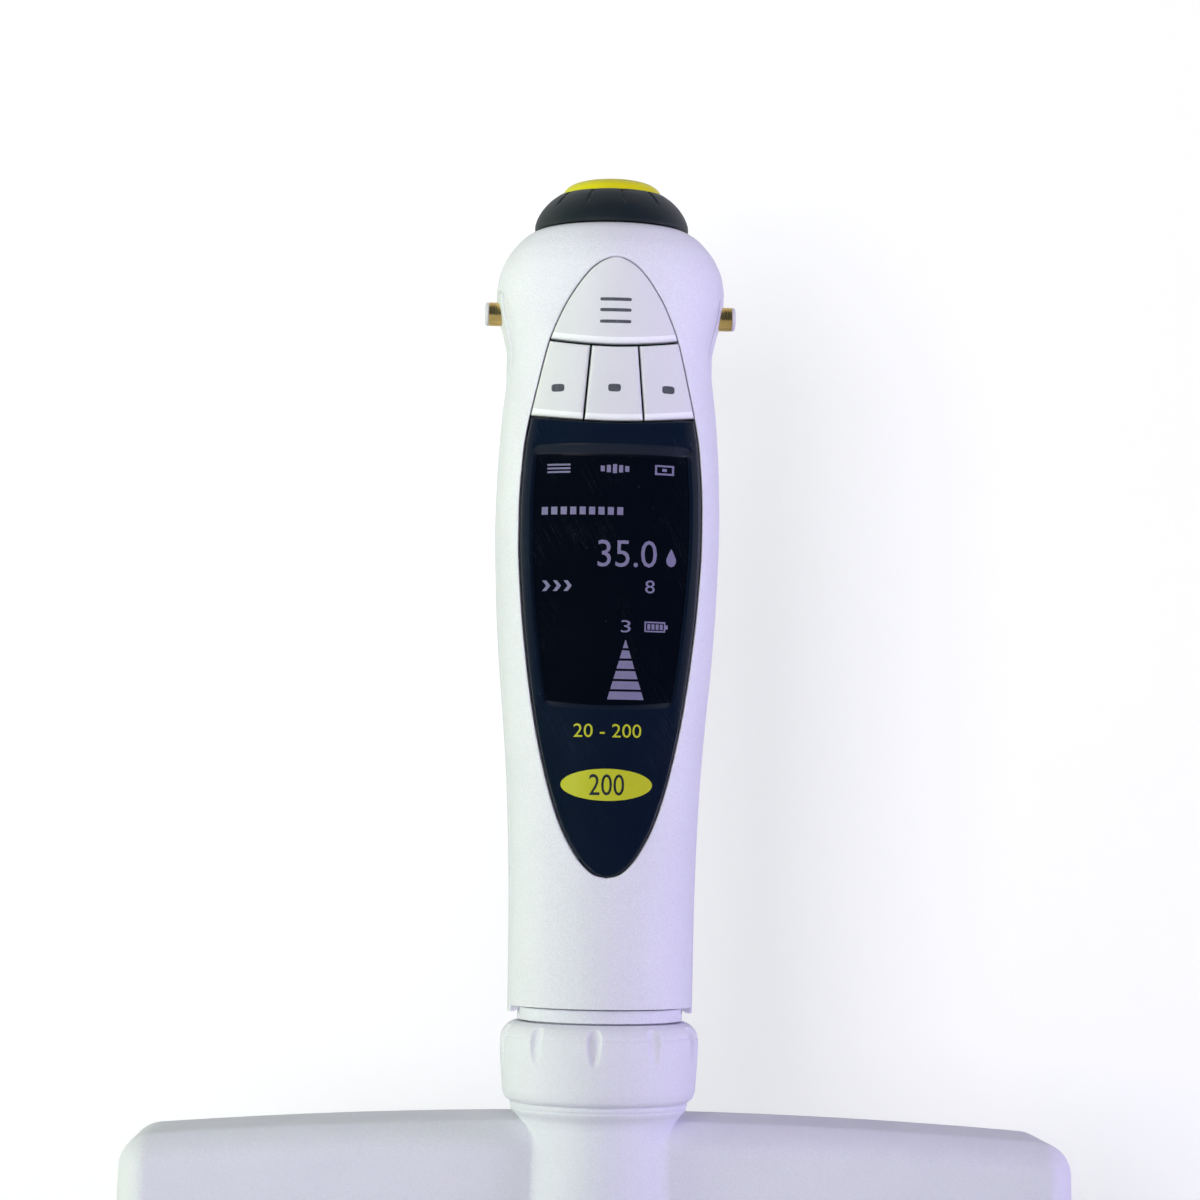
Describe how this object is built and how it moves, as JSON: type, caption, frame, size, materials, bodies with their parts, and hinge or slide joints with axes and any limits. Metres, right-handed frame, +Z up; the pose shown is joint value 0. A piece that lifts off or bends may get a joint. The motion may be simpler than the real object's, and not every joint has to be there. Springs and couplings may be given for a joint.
{
  "type": "electronic multichannel pipette",
  "caption": "Handheld motor driven pipette with a display handle and a wide turning manifold whose row of sprung cones takes disposable tips.",
  "frame": {"origin": "on the handle's axis, midway between the two charging contacts that the pipette hangs from", "axes": "+Z up along the handle towards the push button, -Y out of the display, +X to the right as the display is read"},
  "size_m": [0.1208, 0.0566, 0.1933],
  "materials": {
    "white_plastic": "satin moulded, very fine grain",
    "key_plastic": "satin moulded",
    "window_plastic": "polished, printed from behind",
    "display_panel": "flat panel",
    "board": "solder mask",
    "battery_wrap": "shrink sleeve",
    "black_plastic": "satin moulded",
    "yellow_plastic": "satin moulded",
    "gold": "gold plated",
    "cap_plastic": "smooth",
    "steel": "turned",
    "aluminium": "milled",
    "inner_plastic": "moulded",
    "cone_plastic": "turned from chemical resistant plastic"
  },
  "bodies": {
    "handle": {"front_casing": "white_plastic", "rear_casing": "white_plastic", "base_ring": "white_plastic", "encoder_block": "black_plastic", "display_window": "window_plastic", "display_module": "display_panel", "circuit_board": "board", "battery_pack": "battery_wrap", "contact_left": "gold", "contact_right": "gold", "contact_cap_left": "cap_plastic", "contact_cap_right": "cap_plastic", "drive_motor": "steel", "motor_bracket": "black_plastic"},
    "wheel": {"adjustment_wheel": "black_plastic"},
    "eject_key": {"ejector_button": "yellow_plastic"},
    "operating_key": {"operating_button": "key_plastic"},
    "left_key": {"soft_key_left": "key_plastic"},
    "middle_key": {"soft_key_middle": "key_plastic"},
    "right_key": {"soft_key_right": "key_plastic"},
    "hook": {"finger_hook": "white_plastic"},
    "cover": {"battery_cover": "white_plastic"},
    "screw": {"lead_screw": "steel"},
    "nut": {"collar_nut": "white_plastic"},
    "manifold": {"manifold_housing": "white_plastic", "manifold_rear_cover": "white_plastic", "guide_plate": "inner_plastic", "cone_plate": "inner_plastic", "ejector_spring_left": "steel", "ejector_spring_right": "steel"},
    "carriage": {"push_rod": "steel", "piston_bar": "aluminium", "piston_01": "steel", "piston_02": "steel", "piston_03": "steel", "piston_04": "steel", "piston_05": "steel", "piston_06": "steel", "piston_07": "steel", "piston_08": "steel", "piston_09": "steel", "piston_10": "steel", "piston_11": "steel", "piston_12": "steel"},
    "ejector": {"ejector_bar": "white_plastic", "ejector_rod_left": "steel", "ejector_rod_right": "steel"},
    "cone_01": {"tip_cone_01": "cone_plastic"},
    "cone_02": {"tip_cone_02": "cone_plastic"},
    "cone_03": {"tip_cone_03": "cone_plastic"},
    "cone_04": {"tip_cone_04": "cone_plastic"},
    "cone_05": {"tip_cone_05": "cone_plastic"},
    "cone_06": {"tip_cone_06": "cone_plastic"},
    "cone_07": {"tip_cone_07": "cone_plastic"},
    "cone_08": {"tip_cone_08": "cone_plastic"},
    "cone_09": {"tip_cone_09": "cone_plastic"},
    "cone_10": {"tip_cone_10": "cone_plastic"},
    "cone_11": {"tip_cone_11": "cone_plastic"},
    "cone_12": {"tip_cone_12": "cone_plastic"}
  },
  "joints": [
    {"name": "wheel_turn", "type": "hinge", "parent": "handle", "child": "wheel", "pos_m": [0, 0, 0.0125], "axis": [0, 0, 1], "continuous": true},
    {"name": "eject_press", "type": "slide", "parent": "handle", "child": "eject_key", "axis": [0, 0, -1], "range_m": [0, 0.0015], "stiffness_N_per_m": 400, "springref_m": -0.001},
    {"name": "operating_press", "type": "slide", "parent": "handle", "child": "operating_key", "axis": [0, 1, 0], "range_m": [0, 0.0008], "stiffness_N_per_m": 600, "springref_m": -0.0005},
    {"name": "left_key_press", "type": "slide", "parent": "handle", "child": "left_key", "axis": [0, 1, 0], "range_m": [0, 0.0005], "stiffness_N_per_m": 600, "springref_m": -0.0005},
    {"name": "middle_key_press", "type": "slide", "parent": "handle", "child": "middle_key", "axis": [0, 1, 0], "range_m": [0, 0.0005], "stiffness_N_per_m": 600, "springref_m": -0.0005},
    {"name": "right_key_press", "type": "slide", "parent": "handle", "child": "right_key", "axis": [0, 1, 0], "range_m": [0, 0.0005], "stiffness_N_per_m": 600, "springref_m": -0.0005},
    {"name": "hook_swing", "type": "hinge", "parent": "handle", "child": "hook", "pos_m": [0, 0, 0.0046], "axis": [0, 0, 1], "range_deg": [-40, 40]},
    {"name": "cover_off", "type": "slide", "parent": "handle", "child": "cover", "axis": [0, 1, 0], "range_m": [0, 0.012]},
    {"name": "nut_turn", "type": "hinge", "parent": "handle", "child": "nut", "pos_m": [0, 0, -0.0938], "axis": [0, 0, 1], "continuous": true},
    {"name": "manifold_swivel", "type": "hinge", "parent": "handle", "child": "manifold", "pos_m": [0, 0, -0.0955], "axis": [0, 0, 1], "continuous": true},
    {"name": "piston_stroke", "type": "slide", "parent": "manifold", "child": "carriage", "axis": [0, 0, 1], "range_m": [-0.002, 0.017]},
    {"name": "screw_turn", "type": "hinge", "parent": "handle", "child": "screw", "pos_m": [0, 0, -0.063], "axis": [0, 0, 1], "range_deg": [-361, 3061]},
    {"name": "ejector_slide", "type": "slide", "parent": "manifold", "child": "ejector", "axis": [0, 0, -1], "range_m": [0, 0.004], "stiffness_N_per_m": 500, "springref_m": -0.002, "deforming": ["ejector_spring_left", "ejector_spring_right"]},
    {"name": "cone_01_push", "type": "slide", "parent": "manifold", "child": "cone_01", "axis": [0, 0, 1], "range_m": [0, 0.0015], "stiffness_N_per_m": 1000, "springref_m": -0.002},
    {"name": "cone_02_push", "type": "slide", "parent": "manifold", "child": "cone_02", "axis": [0, 0, 1], "range_m": [0, 0.0015], "stiffness_N_per_m": 1000, "springref_m": -0.002},
    {"name": "cone_03_push", "type": "slide", "parent": "manifold", "child": "cone_03", "axis": [0, 0, 1], "range_m": [0, 0.0015], "stiffness_N_per_m": 1000, "springref_m": -0.002},
    {"name": "cone_04_push", "type": "slide", "parent": "manifold", "child": "cone_04", "axis": [0, 0, 1], "range_m": [0, 0.0015], "stiffness_N_per_m": 1000, "springref_m": -0.002},
    {"name": "cone_05_push", "type": "slide", "parent": "manifold", "child": "cone_05", "axis": [0, 0, 1], "range_m": [0, 0.0015], "stiffness_N_per_m": 1000, "springref_m": -0.002},
    {"name": "cone_06_push", "type": "slide", "parent": "manifold", "child": "cone_06", "axis": [0, 0, 1], "range_m": [0, 0.0015], "stiffness_N_per_m": 1000, "springref_m": -0.002},
    {"name": "cone_07_push", "type": "slide", "parent": "manifold", "child": "cone_07", "axis": [0, 0, 1], "range_m": [0, 0.0015], "stiffness_N_per_m": 1000, "springref_m": -0.002},
    {"name": "cone_08_push", "type": "slide", "parent": "manifold", "child": "cone_08", "axis": [0, 0, 1], "range_m": [0, 0.0015], "stiffness_N_per_m": 1000, "springref_m": -0.002},
    {"name": "cone_09_push", "type": "slide", "parent": "manifold", "child": "cone_09", "axis": [0, 0, 1], "range_m": [0, 0.0015], "stiffness_N_per_m": 1000, "springref_m": -0.002},
    {"name": "cone_10_push", "type": "slide", "parent": "manifold", "child": "cone_10", "axis": [0, 0, 1], "range_m": [0, 0.0015], "stiffness_N_per_m": 1000, "springref_m": -0.002},
    {"name": "cone_11_push", "type": "slide", "parent": "manifold", "child": "cone_11", "axis": [0, 0, 1], "range_m": [0, 0.0015], "stiffness_N_per_m": 1000, "springref_m": -0.002},
    {"name": "cone_12_push", "type": "slide", "parent": "manifold", "child": "cone_12", "axis": [0, 0, 1], "range_m": [0, 0.0015], "stiffness_N_per_m": 1000, "springref_m": -0.002}
  ],
  "couplings": [
    {"joint": "screw_turn", "follows": "piston_stroke", "rad_per_m": 3141.6}
  ]
}
